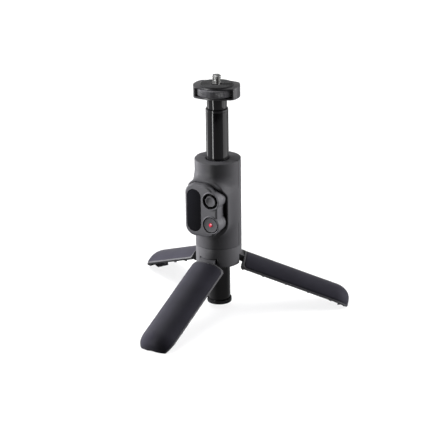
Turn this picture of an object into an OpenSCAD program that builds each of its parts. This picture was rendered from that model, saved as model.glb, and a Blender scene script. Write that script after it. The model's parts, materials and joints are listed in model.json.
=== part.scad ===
// Camera extension rod with fold-out tripod legs and a detachable remote control.
// The rod axis is Z, the origin is on the floor under the rod, and the remote faces -Y.

/* [Grip body] */
// Outer radius of the round grip body
grip_r = 17; // [16:0.2:20.4]
// Height of the grip body between its two end faces
grip_h = 66; // [60:1:80]
// Wall thickness of the grip shells
grip_wall = 2; // [1.6:0.1:2.4]
// Height of the tripod base under the grip body
base_h = 14.6; // [14:0.2:18]

/* [Legs] */
// Height of the hinge pins above the floor when the legs are open
hinge_z = 41; // [38:0.5:49]
// Length of a leg from its hinge pin to its tip
leg_len = 92.5; // [90:0.5:111]
// Turn of the three legs about the rod, relative to the remote
leg_turn = -2; // [-10:1:10]
// Radius of the hinge pins
pin_r = 1; // [0.8:0.1:1.2]
// Half width of a leg knuckle along its pin
knuckle_w = 6; // [5:0.5:7]

/* [Rod] */
// Outer radius of the outermost tube
rod_r = 8.25; // [7.5:0.05:9]
// Height of the rod's lower end above the floor
rod_z = 3.4; // [2:0.1:6]
// Length of the outermost tube with its collar and its end cap
rod_len = 150.8; // [140:0.2:181]
// Wall thickness of every tube
tube_wall = 0.65; // [0.5:0.05:0.8]
// Radial space between one tube and the next
tube_gap = 0.5; // [0.4:0.05:0.6]
// Radial running clearance of the guides, bushings and pins
run = 0.05; // [0.02:0.01:0.08]

/* [Camera head] */
// Diameter of the camera screw
screw_d = 6.35; // [5.3:0.05:7.65]
// Length of the camera screw above the rubber pad
screw_out = 6.6; // [5:0.1:8]
// Outer radius of the head
head_r = 17; // [15:0.5:20]
// Radius of the thumb wheel
wheel_r = 14.9; // [13:0.1:15]
// Height of the thumb wheel
wheel_h = 5.6; // [4:0.1:8]
// Radius of the rubber pad
pad_r = 12.3; // [9:0.1:12.4]

/* [Remote control] */
// Width of the remote
remote_w = 28.3; // [27:0.1:30]
// Height of the remote
remote_h = 39.4; // [38.5:0.1:42]
// Thickness of the remote
remote_d = 13; // [12:0.1:15]
// Wall thickness of the remote's shells
remote_wall = 1.2; // [0.9:0.1:1.4]
// Radius of the joystick cap
stick_r = 4.05; // [3:0.05:4.6]
// Radius of the record button
record_r = 5.7; // [5:0.1:5.75]

/* [Hidden] */
$fn = 96;
eps = 0.01;
gap = 0.3;                    // Clearance between pieces that move past each other
big = 60;                     // Size of a cutting block

// Heights, from the floor up
base_z = hinge_z - 5.2;
grip_z = base_z + base_h;
grip_top = grip_z + grip_h;
rod_top = rod_z + rod_len;
neck_z = rod_top + gap;
head_z = neck_z + 8.8;
wheel_z = head_z + 1.7;
plate_z = wheel_z + wheel_h + gap;
plate_top = plate_z + 0.9;
pad_top = plate_top + 0.8;
screw_r = screw_d / 2;
shank_r = screw_r - 0.375;
swivel_r = 3.9;

// Legs
leg_angles = [for (i = [0:2]) 270 + leg_turn + i * 120];
hinge_r = grip_r - 4;
sole_in = hinge_r - 4.536;    // How far the sole of a foot lies inside the folded leg's pin
sole_down = leg_len - 4;      // How far it lies below that pin
leg_open = atan2(sole_in, sole_down) + acos(hinge_z / norm([sole_in, sole_down]));
leg_r = grip_r - 0.6;
leg_half = 58.4;
skin_half = leg_half - 4.4;
skin_t = 1;
frame_t = 1.8;
leg_root = 5.7;
web_t = 2.4;                  // Thickness of the web at a leg's root
skin_root = leg_root + 1.2;
corner_r = 3.5;               // Round corners of a frame's root
dome_len = 12;
tip_r = 8.6;
tip_lip = 1.6;                // How far the tip turns in towards the rod
rib_pitch = (leg_len - dome_len - 8.5) / 4;
rib_at = [for (i = [4:-1:1]) 5 + i * rib_pitch];
eye_r = 2.6;
arm_t = 2.4;
slot_w = knuckle_w + 1.2;
mouth_w = slot_w + 2.05;
mouth_x = 2 * pin_r;
pin_half = sqrt(pow(grip_r - 0.3, 2) - pow(hinge_r + pin_r, 2));
spring_z = hinge_z + eye_r + 0.35;
cover_t = 1;

// Guides of the rod
guide_r = rod_r + run;
sleeve_r = rod_r + 1.05;
detent_z = grip_top - 8.4;
dimple_z = detent_z + 37;
ball_r = 1.2;

// Remote control, seen from the front: X to the right and Z up
remote_z = grip_z + 12.7;
remote_top = remote_z + remote_h;
remote_back = -12.7;
remote_front = remote_back - remote_d;
remote_split = remote_back - 5.8;
face_t = 1.4;
face_in = remote_front + face_t;
half_w = remote_w / 2;
lobe_r = 6.95;
stick_at = [half_w - lobe_r, remote_top - 10.8];
record_at = [half_w - lobe_r, remote_z + 10.3];
waist_x = half_w - 1.95;
corner_tl = [-half_w + 7, remote_top - 7];
corner_bl = [-half_w + 7.5, remote_z + 7.5];
corner_br = [half_w - 10.65, remote_z + 8.5];
corner_tr = [half_w - 14.35, remote_top - 12];
window_w = 11.4;
window_h = 32.5;
window_at = [-half_w + 1.85 + window_w / 2, remote_z + 3.5 + window_h / 2];
pcb_y = remote_split + 0.7;
pcb_t = 0.8;
pivot_y = remote_front + 4.5;
bay_y = remote_back + gap;
bay_wall = 2;
cradle_y = -14.8;
hood_y = -19.5;
case_screw_r = 1;
case_screw_at = [for (x = [-1, 1], z = [record_at[1], stick_at[1]]) [x * (grip_r - 5.4), z]];
remote_screw_at = [[0.3, remote_z + 19.4], [0.3, remote_top - 5]];
magnet_at = [[-half_w + 6.15, remote_z + 5.4], [-half_w + 6.15, remote_top - 5.4]];

// ---------------------------------------------------------------- helpers

// Ring about Z between two heights
module ring(r_out, r_in, z0, z1) {
    translate([0, 0, z0]) difference() {
        cylinder(r = r_out, h = z1 - z0);
        translate([0, 0, -eps]) cylinder(r = r_in, h = z1 - z0 + 2 * eps);
    }
}

// Disc or rod whose axis is Y, from its rear face towards the front
module front_rod(at, y_back, depth, r) {
    translate([at[0], y_back, at[1]]) rotate([90, 0, 0]) cylinder(r = r, h = depth);
}

// Block with a given middle in X and Z, from its rear face towards the front
module front_block(at, y_back, depth, w, h) {
    translate([at[0] - w / 2, y_back - depth, at[1] - h / 2]) cube([w, depth, h]);
}

function arc(c, r, a0, a1, n) =
    [for (i = [0:n]) let (a = a0 + (a1 - a0) * i / n) c + r * [cos(a), sin(a)]];

// Angle on circle 1 of the point where it meets circle 2, on side s of the line of centres
function meet(c1, r1, c2, r2, s) =
    let (v = c2 - c1, d = norm(v))
    atan2(v[1], v[0]) + s * acos((d * d + r1 * r1 - r2 * r2) / (2 * d * r1));

// Outline of the remote, grown by off: straight left side, two round lobes on the right
function outline(off, waisted) =
    let (
        rl = lobe_r + off,
        rb = 8.5 + off,
        rt = 12 + off,
        notch = waisted ? acos((waist_x + off - stick_at[0]) / rl) : 0
    )
    concat(
        arc(corner_tl, 7 + off, 90, 180, 8),
        arc(corner_bl, 7.5 + off, 180, 270, 8),
        arc(corner_br, rb, -90, meet(corner_br, rb, record_at, rl, -1), 6),
        arc(record_at, rl, meet(record_at, rl, corner_br, rb, 1), notch, 8),
        arc(stick_at, rl, -notch, meet(stick_at, rl, corner_tr, rt, -1) + 360, 8),
        arc(corner_tr, rt, meet(corner_tr, rt, stick_at, rl, 1), 90, 6)
    );

// Slab with the remote's outline, from its rear face towards the front
module slab(y_back, depth, off, waisted = true) {
    translate([0, y_back, 0]) rotate([90, 0, 0]) linear_extrude(depth)
        polygon(outline(off, waisted));
}

// Upright slot shape with round ends, from its rear face towards the front
module window_slab(y_back, depth, off) {
    r = window_w / 2 + off;
    up = window_h / 2 - window_w / 2;
    front_rod(window_at + [0, up], y_back, depth, r);
    front_rod(window_at - [0, up], y_back, depth, r);
    front_block(window_at, y_back, depth, 2 * r, 2 * up);
}

// ---------------------------------------------------------------- grip body

// Hood over the top of the remote, with a face that slopes back towards the lobes
module hood() {
    difference() {
        slab(0, -hood_y, 1.6, false);
        translate([-big / 2, -big, remote_z - big / 2]) cube([big, big + cradle_y + 2, big]);
        translate([-big / 2, cradle_y, remote_top - 10]) rotate([30, 0, 0])
            translate([0, -big, -big]) cube([big, big, big]);
    }
    translate([-10, 0, 0]) rotate([90, 0, 90]) linear_extrude(18)
        polygon([[hood_y, remote_top + 1.6], [hood_y, remote_top],
                 [-10, remote_top], [-10, remote_top + 7], [-16.6, remote_top + 7]]);
}

module grip_solid() {
    difference() {
        union() {
            translate([0, 0, grip_z]) cylinder(r = grip_r, h = grip_h);
            slab(-6, -6 - cradle_y, 1.6, false);
            hood();
        }
        slab(bay_y, big, 0.45, false);
    }
}

// Inside of the grip: a round room behind the wall of the remote's bay
module grip_room() {
    z0 = grip_z + grip_wall;
    room_h = grip_h - 2 * grip_wall;
    difference() {
        translate([0, 0, z0]) cylinder(r = grip_r - grip_wall, h = room_h);
        slab(bay_y + bay_wall, big, 1.9, false);
    }
    translate([0, 0, grip_z - 1]) cylinder(r = rod_r + 0.6, h = grip_h + 2);
}

// Bosses for the case screws, and for the three screws that come up from the base
module grip_bosses() {
    for (at = case_screw_at)
        intersection() {
            front_rod(at, grip_r, grip_r - bay_y, 2.2);
            translate([0, 0, grip_z]) cylinder(r = grip_r - 1, h = grip_h);
        }
    for (a = leg_angles)
        rotate([0, 0, a + 60]) translate([hinge_r + 0.4, 0, grip_z + 1]) cylinder(r = 2, h = 8);
}

module grip_screw_holes() {
    for (at = case_screw_at) {
        front_rod(at, grip_r - 6, big, case_screw_r);
        front_rod(at, bay_y + 0.9, big, 1.9);
    }
    for (a = leg_angles)
        rotate([0, 0, a + 60]) translate([hinge_r + 0.4, 0, grip_z - 1]) cylinder(r = 0.9, h = 8.4);
}

module grip_case() {
    difference() {
        union() {
            difference() {
                grip_solid();
                grip_room();
            }
            difference() {
                grip_bosses();
                translate([0, 0, grip_z]) cylinder(r = rod_r + 0.6, h = grip_h);
            }
        }
        grip_screw_holes();
    }
}

module front_shell() color("dimgray") intersection() {
    grip_case();
    translate([-big, -2 * big, 0]) cube([2 * big, 2 * big, 3 * big]);
}

module rear_shell() color("dimgray") intersection() {
    grip_case();
    translate([-big, 0, 0]) cube([2 * big, 2 * big, 3 * big]);
}

module case_screws() color("silver") for (at = case_screw_at) {
    front_rod(at, grip_r - 6, grip_r - 6 - bay_y - 0.9, case_screw_r);
    front_rod(at, bay_y + 0.9, 0.7, 1.9);
}

module bay_magnets() color("gray") for (at = magnet_at)
    front_rod(at, bay_y + bay_wall + 1, 1, 2.2);

module upper_guide() color("black") difference() {
    union() {
        ring(rod_r + 2.6, guide_r, grip_top - 11, grip_top - grip_wall);
        ring(grip_r - grip_wall, guide_r, grip_top - 5, grip_top - 3.6);
        translate([guide_r + 0.6, 0, detent_z]) rotate([0, 90, 0])
            cylinder(r = 2.2, h = grip_r - grip_wall - guide_r - 1);
    }
    translate([rod_r - 1, 0, detent_z]) rotate([0, 90, 0])
        cylinder(r = ball_r, h = grip_r - grip_wall - 0.8 - rod_r + 1);
    translate([0, 0, grip_top - 12]) cylinder(r = guide_r, h = 20);
}

module detent_ball() color("silver")
    translate([guide_r + ball_r, 0, detent_z]) sphere(r = ball_r);

module detent_spring() color("gray") {
    r_in = 0.7;
    x0 = guide_r + ball_r + sqrt(ball_r * ball_r - r_in * r_in);
    x1 = grip_r - grip_wall - 0.8;
    translate([x0, 0, detent_z]) rotate([0, 90, 0]) ring(ball_r, r_in, 0, x1 - x0);
}

// ---------------------------------------------------------------- tripod base

// Places a leg's own frame: origin on its pin, +X outwards and -Z along the folded leg
module at_hinge(angle, open) {
    rotate([0, 0, angle]) translate([hinge_r, 0, hinge_z]) rotate([0, -open, 0]) children();
}

// Height at which the top face of an open knuckle passes a given distance from its pin
function open_line(x) = (arm_t + 0.4 - x * cos(leg_open)) / sin(leg_open);

// Upright cut of constant width through the base, given as its side profile
module slot_cut(half_width, profile) {
    rotate([90, 0, 0]) translate([0, 0, -half_width]) linear_extrude(2 * half_width) polygon(profile);
}

// Room for a knuckle and its leaf spring, with a wider mouth at the outer face
module knuckle_slot() {
    in_x = -eye_r - 0.45;
    far = 12;
    roof = spring_z + 1.6 - hinge_z;
    slot_cut(slot_w, [[in_x, -far], [in_x, 0.9], [-1.6, eye_r], [-1.6, roof], [1.6, roof],
                      [1.6, open_line(1.6)], [far, open_line(far)], [far, -far]]);
    slot_cut(mouth_w, [[mouth_x, -far], [mouth_x, open_line(mouth_x) + gap],
                       [far, open_line(far) + gap], [far, -far]]);
}

module base_block(z0, z1, r_in) {
    difference() {
        ring(grip_r, r_in, z0, z1);
        for (a = leg_angles) {
            at_hinge(a, 0) knuckle_slot();
            rotate([0, 0, a + 60]) translate([hinge_r + 0.4, 0, base_z - 1]) {
                cylinder(r = 0.9, h = big);
                cylinder(r = 1.7, h = 3);
            }
        }
    }
}

module tripod_base() color("dimgray") difference() {
    base_block(base_z + cover_t, grip_z, sleeve_r);
    for (a = leg_angles)
        at_hinge(a, 0) rotate([90, 0, 0]) translate([0, 0, -pin_half]) cylinder(r = pin_r, h = 2 * pin_half);
}

module base_cover() color("dimgray") intersection() {
    base_block(base_z, base_z + cover_t, rod_r + 0.5);
    translate([0, 0, base_z]) cylinder(r1 = grip_r - 0.9, r2 = grip_r + 0.2, h = cover_t + eps);
}

module lower_guide() color("black") ring(sleeve_r, guide_r, base_z + cover_t, grip_z);

module base_screws() color("silver") for (a = leg_angles)
    rotate([0, 0, a + 60]) translate([hinge_r + 0.4, 0, 0]) {
        translate([0, 0, base_z + 0.5]) cylinder(r = 1.7, h = 1.5);
        translate([0, 0, base_z + 2]) cylinder(r = 0.9, h = grip_z + 7 - base_z - 2);
    }

module hinge_pins() color("silver") for (a = leg_angles)
    at_hinge(a, 0) rotate([90, 0, 0]) translate([0, 0, -pin_half]) cylinder(r = pin_r, h = 2 * pin_half);

// Leaf springs that press on the knuckles and hold a leg open or folded
module leg_springs() color("silver") for (a = leg_angles)
    rotate([0, 0, a]) translate([hinge_r - 1.5, -slot_w, spring_z]) cube([3, 2 * slot_w, 0.3]);

// ---------------------------------------------------------------- legs

// Side profile of a folded leg's rounded end, set in by off
function leg_dome(off) =
    [for (i = [0:10]) let (a = 9 * i)
        [tip_r + (leg_r - off - tip_r) * cos(a), -(leg_len - dome_len) - (dome_len - off) * sin(a)]];

// The same, with the straight stretch above it from a start height
function leg_curve(off, z0) = concat([[leg_r - off, -z0]], leg_dome(off));

function backwards(v) = [for (i = [len(v) - 1:-1:0]) v[i]];

// Part of a shell of revolution about the rod's axis, in a leg's own frame
module leg_sector(half, points) {
    translate([-hinge_r, 0, 0]) rotate([0, 0, -half]) rotate_extrude(angle = 2 * half) polygon(points);
}

// Everything lower than a height, cut away so that only the rubber feet reach the floor
module below(height) {
    translate([-2 * big, -2 * big, height - big]) cube([4 * big, 4 * big, big]);
}

// Cuts the two corners at a frame's root round
module leg_corners() for (side = [-1, 1])
    translate([-hinge_r, 0, 0]) rotate([0, 0, side * leg_half])
        translate([rod_r, side * (0.25 - corner_r), 0.25 - leg_root - corner_r]) difference() {
            translate([0, side > 0 ? 0 : -2 * corner_r, 0]) cube([leg_r, 2 * corner_r, 2 * corner_r]);
            translate([-1, 0, 0]) rotate([0, 90, 0]) cylinder(r = corner_r, h = leg_r + 2);
        }

module leg_frame(angle) color("gray") difference() {
    at_hinge(angle, leg_open) difference() {
        union() {
            leg_sector(leg_half, concat(
                leg_curve(0, leg_root),
                [[tip_r - tip_lip, -leg_len], [tip_r - tip_lip, -leg_len + skin_t + frame_t]],
                backwards(leg_dome(skin_t + frame_t)),
                [for (d = rib_at, at = [[0, 1.4], [1, 1.4], [1, 0], [0, 0]])
                    [at[0] == 0 ? leg_r - skin_t - frame_t : rod_r + 3.4, -d - at[1]]],
                [[leg_r - skin_t - frame_t, -leg_root - web_t], [rod_r + 2, -leg_root - web_t],
                 [rod_r + 2, -leg_root]]));
            rotate([90, 0, 0]) translate([0, 0, -knuckle_w]) cylinder(r = eye_r, h = 2 * knuckle_w);
            translate([-arm_t, -knuckle_w, -leg_root - 1]) cube([2 * arm_t, 2 * knuckle_w, leg_root + 1]);
        }
        leg_sector(skin_half, concat(
            leg_curve(skin_t, skin_root),
            [[0, -leg_len + skin_t], [0, -leg_len - 2], [leg_r + 2, -leg_len - 2], [leg_r + 2, -skin_root]]));
        leg_corners();
        rotate([90, 0, 0]) translate([0, 0, -big / 2]) cylinder(r = pin_r + run, h = big);
    }
    below(0.6);
}

module leg_skin(angle) color("black") difference() {
    at_hinge(angle, leg_open)
        leg_sector(skin_half, concat(
            leg_curve(0, skin_root),
            [[tip_r - tip_lip, -leg_len], [tip_r - tip_lip, -leg_len + skin_t]],
            backwards(leg_curve(skin_t, skin_root))));
    below(0.6);
}

// Rubber foot: its underside lies on the floor when the leg is open
module leg_foot(angle) color("black") difference() {
    at_hinge(angle, leg_open) translate([-hinge_r, 0, 0]) difference() {
        translate([2, -4.6, -leg_len + 1]) cube([10.5, 9.2, 6]);
        ring(big, tip_r - tip_lip, -leg_len, -leg_len + skin_t + frame_t);
        difference() {
            translate([0, -big / 2, -leg_len - 1]) cube([big, big, 20]);
            rotate([0, 0, -leg_half]) rotate_extrude(angle = 2 * leg_half)
                polygon(concat([[0, -leg_len + 3], [0, -leg_root]],
                    leg_curve(skin_t + frame_t, leg_root)));
        }
    }
    below(0);
}

// ---------------------------------------------------------------- telescopic rod

function tube_r(k) = rod_r - (k - 1) * (tube_wall + tube_gap);
function tube_z(k) = rod_z + 1 + (k > 1 ? 1.6 + k : 0);

module tube(k, z1) color("black") ring(tube_r(k), tube_r(k) - tube_wall, tube_z(k), z1);

module tube_1() difference() {
    tube(1, rod_top - 1.8);
    translate([guide_r + ball_r, 0, dimple_z]) sphere(r = ball_r + 0.25);
}

// Guide inside the mouth of tube k, in which the next tube slides
module collar(k) color("black") {
    ring(tube_r(k) - tube_wall, tube_r(k + 1) + run, rod_top - 12, rod_top);
    if (k == 1) ring(rod_r, tube_r(k) - tube_wall - eps, rod_top - 1.8, rod_top);
}

// Bushing round the lower end of tube k, which slides in the tube before it
module bushing(k) color("dimgray")
    ring(tube_r(k - 1) - tube_wall - run, tube_r(k), tube_z(k), tube_z(k) + 12);

module rod_end_cap() color("black") {
    translate([0, 0, rod_z]) cylinder(r = rod_r + 0.95, h = 1);
    ring(rod_r + 0.95, rod_r, rod_z + 1 - eps, rod_z + 2.8);
}

// ---------------------------------------------------------------- camera head

// Lens-shaped plate: full radius over the side walls, cut back over the two windows
module head_lens(z0, z1) {
    window_mid = 283.7;
    waist = 12.5;
    side_r = 31.4;
    rotate([0, 0, window_mid]) intersection() {
        translate([0, 0, z0]) cylinder(r = head_r, h = z1 - z0);
        translate([waist - side_r, 0, z0]) cylinder(r = side_r, h = z1 - z0);
        translate([side_r - waist, 0, z0]) cylinder(r = side_r, h = z1 - z0);
    }
}

module head_wall_sectors(r_out, r_in, z0, z1) {
    for (a = [283.7 + 58, 283.7 + 238])
        rotate([0, 0, a]) translate([0, 0, z0]) rotate_extrude(angle = 64)
            polygon([[r_in, 0], [r_out, 0], [r_out, z1 - z0], [r_in, z1 - z0]]);
}

module at_head_screws() {
    for (a = [13.7, 193.7]) rotate([0, 0, a]) translate([head_r - 0.9, 0, 0]) children();
}

module neck_ferrule() color("black") difference() {
    translate([0, 0, neck_z]) cylinder(r = 7.3, h = head_z - gap / 2 - neck_z);
    translate([0, 0, neck_z - 1]) cylinder(r = tube_r(4), h = 6.6);
    translate([0, 0, head_z - 2.4]) cylinder(r = swivel_r + run, h = 4);
}

// The head turns on the ferrule about a short spigot
module head_base() color("black") difference() {
    union() {
        head_lens(head_z, wheel_z - gap);
        translate([0, 0, head_z - 2]) cylinder(r = swivel_r, h = 2.5);
    }
    translate([0, 0, head_z - 1]) at_head_screws() cylinder(r = 0.5, h = 4);
}

module top_plate() color("black") difference() {
    union() {
        head_lens(plate_z, plate_top);
        head_wall_sectors(head_r, wheel_r + gap, wheel_z - gap, plate_z + eps);
    }
    translate([0, 0, plate_z - 1]) cylinder(r = screw_r + gap, h = 4);
    translate([0, 0, head_z]) at_head_screws() cylinder(r = 0.5, h = 5.4);
}

module rubber_pad() color("dimgray") ring(pad_r, screw_r + gap, plate_top, pad_top);

module head_screws() color("silver") translate([0, 0, head_z]) at_head_screws()
    cylinder(r = 0.5, h = 5.4);

module thumb_wheel() color("gray") difference() {
    translate([0, 0, wheel_z]) cylinder(r = wheel_r, h = wheel_h);
    translate([0, 0, wheel_z - 1]) cylinder(r = shank_r, h = wheel_h + 2);
    translate([0, 0, wheel_z - 1]) cylinder(r = screw_r + 2.3, h = 2.5);
}

module camera_screw() color("silver") {
    translate([0, 0, wheel_z]) cylinder(r = screw_r + 2.3, h = 1.5);
    translate([0, 0, wheel_z + 1]) cylinder(r = shank_r, h = pad_top - wheel_z - 0.5);
    translate([0, 0, pad_top]) cylinder(r = screw_r, h = screw_out - 0.6);
    translate([0, 0, pad_top + screw_out - 0.6]) cylinder(r1 = screw_r, r2 = screw_r - 0.6, h = 0.6);
}

// ---------------------------------------------------------------- remote control

module remote_screw_shafts(y_back, depth) {
    for (at = remote_screw_at) front_rod(at, y_back, depth, 0.8);
}

module remote_screw_heads() {
    for (at = remote_screw_at) front_rod(at, remote_back - 0.2, 0.7, 1.5);
}

module remote_back_shell() color("dimgray") difference() {
    slab(remote_back, remote_back - remote_split, 0);
    slab(remote_back - remote_wall, big, -remote_wall);
    remote_screw_shafts(0, big);
    for (at = remote_screw_at) front_rod(at, 0, 0.9 - remote_back, 1.5);
}

module remote_front_shell() color("dimgray") difference() {
    union() {
        difference() {
            union() {
                slab(remote_split, remote_split - remote_front, 0);
                for (at = [stick_at, record_at])
                    front_rod(at, remote_front + 0.5, 0.9, lobe_r - gap);
            }
            slab(remote_split + eps, remote_split - face_in, -remote_wall);
            front_rod(stick_at, 0, big, stick_r + 2);
            front_rod(record_at, 0, big, record_r + gap);
            window_slab(remote_front + 0.9, 2, 0);
            window_slab(0, big, -1);
            front_block([0, remote_z], pcb_y - pcb_t, 2.8, 9, 4);
        }
        for (at = remote_screw_at) front_rod(at, pcb_y - pcb_t, pcb_y - pcb_t - face_in + 0.2, 1.6);
    }
    remote_screw_shafts(0, 22.5);
}

module remote_screws() color("silver") {
    remote_screw_shafts(remote_back - 0.9, 22.5 + remote_back - 0.9);
    remote_screw_heads();
}

module display_window() color("black") window_slab(remote_front + 0.9, 0.9, 0);

module display_module() color("black") window_slab(remote_front + 2.5, 1.6, -1.05);

module remote_pcb() color("green") difference() {
    slab(pcb_y, pcb_t, -remote_wall);
    remote_screw_shafts(0, big);
}

module remote_battery() color("silver")
    front_block([-half_w + 7.25, remote_z + 19.7], remote_back - remote_wall, 2.8, 10.4, 23);

module remote_magnets() color("gray") for (at = magnet_at)
    front_rod(at, remote_back - remote_wall, 1, 2.2);

module charge_socket() color("silver") difference() {
    front_block([0, remote_z + 3.2], pcb_y - pcb_t, 2.8, 8.8, 6);
    front_block([0, remote_z + 2.6], pcb_y - pcb_t - 0.3, 2.2, 8.2, 6);
}

module record_switch() color("black") front_block(record_at, pcb_y - pcb_t, 2.7, 6, 6);

module joystick_base() color("black") front_block(stick_at, pcb_y - pcb_t, 0.4, 8, 8);

// Runs of cylinder along X or Z through the joystick's pivot point
module pivot_rods(along_x, r, from, to) {
    translate([stick_at[0], pivot_y, stick_at[1]]) rotate(along_x ? [0, 90, 0] : [0, 0, 0])
        for (s = [0, 180]) rotate([s, 0, 0]) translate([0, 0, from]) cylinder(r = r, h = to - from, $fn = 48);
}

module pivot_ring(r_out, r_in, y_back, y_front) {
    difference() {
        front_rod(stick_at, y_back, y_back - y_front, r_out);
        front_rod(stick_at, y_back + 1, y_back - y_front + 2, r_in);
    }
}

module joystick_carrier() color("black") difference() {
    pivot_ring(5.6, 4.5, pivot_y + 0.9, pivot_y - 0.9);
    pivot_rods(true, 0.55, 4, 6);
}

module joystick_ring() color("black") difference() {
    union() {
        pivot_ring(4.1, 3.1, pivot_y + 0.8, pivot_y - 0.8);
        pivot_rods(true, 0.45, 3.9, 5.3);
    }
    pivot_rods(false, 0.5, 2, 5);
}

module joystick_cap() color("dimgray") difference() {
    union() {
        front_rod(stick_at, pivot_y + 0.5, 4, 1.7);
        pivot_rods(false, 0.45, 1.2, 3.8);
        front_rod(stick_at, pivot_y - 3.2, 1.6, stick_r);
    }
    translate([stick_at[0], remote_front - 10.2, stick_at[1]]) sphere(r = 10.2);
}

module record_button() color("dimgray") difference() {
    union() {
        front_rod(record_at, remote_front + 2.1, 2.3, record_r);
        for (side = [[-1, 0], [0, 1]])
            front_block(record_at + side * (record_r - 0.2), remote_front + 2.5, 0.8, 2.4, 2.4);
        front_rod(record_at, remote_front + 3.5, 1.2, 1.5);
    }
    front_rod(record_at, remote_front + 0.4, 2, 1.5);
}

module record_dot() color("red") front_rod(record_at, remote_front + 0.4, 0.6, 1.5);

// ---------------------------------------------------------------- nodes

front_shell();
rear_shell();
upper_guide();
lower_guide();
detent_ball();
detent_spring();
bay_magnets();
case_screws();
tripod_base();
base_cover();
base_screws();
hinge_pins();
leg_springs();
leg_frame(leg_angles[0]);  // leg_front_frame
leg_skin(leg_angles[0]);  // leg_front_skin
leg_foot(leg_angles[0]);  // leg_front_foot
leg_frame(leg_angles[1]);  // leg_right_frame
leg_skin(leg_angles[1]);  // leg_right_skin
leg_foot(leg_angles[1]);  // leg_right_foot
leg_frame(leg_angles[2]);  // leg_left_frame
leg_skin(leg_angles[2]);  // leg_left_skin
leg_foot(leg_angles[2]);  // leg_left_foot
tube_1();
collar(1);  // collar_1
rod_end_cap();
tube(2, rod_top);  // tube_2
collar(2);  // collar_2
bushing(2);  // bushing_2
tube(3, rod_top);  // tube_3
collar(3);  // collar_3
bushing(3);  // bushing_3
tube(4, neck_z + 5.6);  // tube_4
bushing(4);  // bushing_4
neck_ferrule();
head_base();
top_plate();
rubber_pad();
head_screws();
thumb_wheel();
camera_screw();
remote_front_shell();
remote_back_shell();
display_window();
display_module();
remote_pcb();
remote_battery();
remote_magnets();
remote_screws();
charge_socket();
record_switch();
joystick_base();
joystick_carrier();
joystick_ring();
joystick_cap();
record_button();
record_dot();
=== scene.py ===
"""Looks of a camera extension rod with fold-out tripod legs and a detachable remote control.

Lengths are in millimetres until a mesh is made, and MM turns them into metres. The rod's axis is Z,
the remote faces -Y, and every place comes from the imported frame.
"""

import json
import math

import bmesh
import bpy
import numpy as np
from mathutils import Matrix, Vector


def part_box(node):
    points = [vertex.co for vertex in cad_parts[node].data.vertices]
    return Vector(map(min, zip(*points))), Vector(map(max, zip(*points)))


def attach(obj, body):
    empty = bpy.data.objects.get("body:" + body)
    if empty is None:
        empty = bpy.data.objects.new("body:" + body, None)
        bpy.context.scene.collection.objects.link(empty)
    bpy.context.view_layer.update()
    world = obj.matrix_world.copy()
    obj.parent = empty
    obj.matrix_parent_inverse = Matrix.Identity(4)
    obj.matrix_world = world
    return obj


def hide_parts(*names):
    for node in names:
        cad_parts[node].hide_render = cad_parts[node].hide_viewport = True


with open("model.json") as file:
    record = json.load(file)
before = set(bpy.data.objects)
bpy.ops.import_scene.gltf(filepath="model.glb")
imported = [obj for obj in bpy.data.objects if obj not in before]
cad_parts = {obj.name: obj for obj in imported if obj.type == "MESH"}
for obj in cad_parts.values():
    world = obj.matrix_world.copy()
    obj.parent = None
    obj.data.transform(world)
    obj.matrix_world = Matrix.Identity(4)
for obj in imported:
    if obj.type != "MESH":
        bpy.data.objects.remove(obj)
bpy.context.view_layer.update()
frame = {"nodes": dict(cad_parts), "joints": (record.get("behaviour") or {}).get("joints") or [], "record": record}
MM = 0.001
TAU = 2 * math.pi
NODE_BODY = {n: body for body, nodes in frame["record"]["behaviour"]["bodies"].items() for n in nodes}


# ------------------------------------------------------------------ frame values

def box_mm(node):
    low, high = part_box(node)
    return low / MM, high / MM


def middle_mm(node):
    low, high = box_mm(node)
    return (low + high) / 2


REAR_LOW, REAR_HIGH = box_mm("rear_shell")
FRONT_LOW, FRONT_HIGH = box_mm("front_shell")
GRIP_R = REAR_HIGH.x
GRIP_LOW = REAR_LOW.z
GRIP_TOP = REAR_HIGH.z
BASE_LOW = box_mm("base_cover")[0].z
TUBE_R = box_mm("tube_1")[1].x
REMOTE_LOW, REMOTE_HIGH = box_mm("remote_front_shell")
CASE_LOW, CASE_HIGH = box_mm("remote_back_shell")
HALF_W = CASE_HIGH.x
REMOTE_BACK = CASE_HIGH.y
REMOTE_SPLIT = REMOTE_HIGH.y
RING_FRONT = REMOTE_LOW.y
STICK = middle_mm("joystick_cap")
RECORD = Vector((middle_mm("record_dot").x, 0, middle_mm("record_dot").z))
STICK_R = box_mm("joystick_cap")[1].x - STICK.x
RECORD_R = box_mm("record_button")[1].x - RECORD.x - 0.15
WINDOW_LOW, WINDOW_HIGH = box_mm("display_window")


# ------------------------------------------------------------------ meshes

def mesh_piece(name, verts, faces, angle=30):
    """A mesh object from points in millimetres, smooth but for edges sharper than an angle."""
    mesh = bpy.data.meshes.new(name)
    mesh.from_pydata([tuple(c * MM for c in v) for v in verts], [], faces)
    piece = bpy.data.objects.new(name, mesh)
    bpy.context.scene.collection.objects.link(piece)
    tidy_normals(piece, angle)
    return piece


def tidy_normals(piece, angle):
    work = bmesh.new()
    work.from_mesh(piece.data)
    bmesh.ops.remove_doubles(work, verts=work.verts, dist=1e-7)
    bmesh.ops.recalc_face_normals(work, faces=work.faces)
    for face in work.faces:
        face.smooth = True
    work.to_mesh(piece.data)
    work.free()
    piece.data.set_sharp_from_angle(angle=math.radians(angle))


def lattice(rows, close_row=False, close_column=False):
    """Points and quads of a grid of rows, each row a list of points."""
    columns = len(rows[0])
    verts = [p for row in rows for p in row]
    faces = []
    for i in range(len(rows) - (0 if close_column else 1)):
        for j in range(columns - (0 if close_row else 1)):
            i2, j2 = (i + 1) % len(rows), (j + 1) % columns
            faces.append((i * columns + j, i * columns + j2, i2 * columns + j2, i2 * columns + j))
    return verts, faces


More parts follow.
